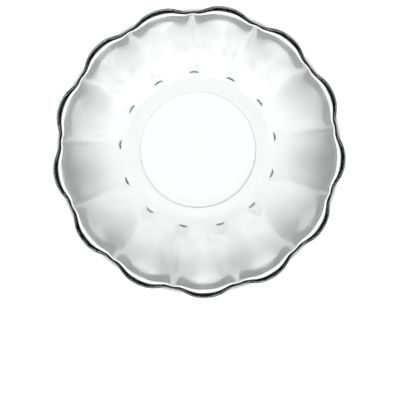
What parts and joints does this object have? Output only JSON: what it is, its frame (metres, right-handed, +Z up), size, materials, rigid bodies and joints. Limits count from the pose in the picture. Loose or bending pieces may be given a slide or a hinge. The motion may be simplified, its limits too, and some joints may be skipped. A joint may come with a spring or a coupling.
{
  "type": "saucer",
  "caption": "Clear pressed-glass saucer with a flat well, a low foot ring and a flared wall of rounded petals that ends in a thick scalloped lip.",
  "frame": {"origin": "on the axis of the saucer, on the table plane under the foot ring", "axes": "+Z up along the axis; one petal is centred on -Y, so X = 0 is a mirror plane"},
  "size_m": [0.1392, 0.1386, 0.0352],
  "materials": {
    "glass": "clear, fire-polished"
  },
  "bodies": {
    "root": {"well_floor": "glass", "base_ring": "glass", "foot_ring": "glass", "petal_01": "glass", "petal_02": "glass", "petal_03": "glass", "petal_04": "glass", "petal_05": "glass", "petal_06": "glass", "petal_07": "glass", "petal_08": "glass", "petal_09": "glass", "petal_10": "glass", "petal_11": "glass", "petal_12": "glass", "petal_13": "glass"}
  },
  "joints": []
}
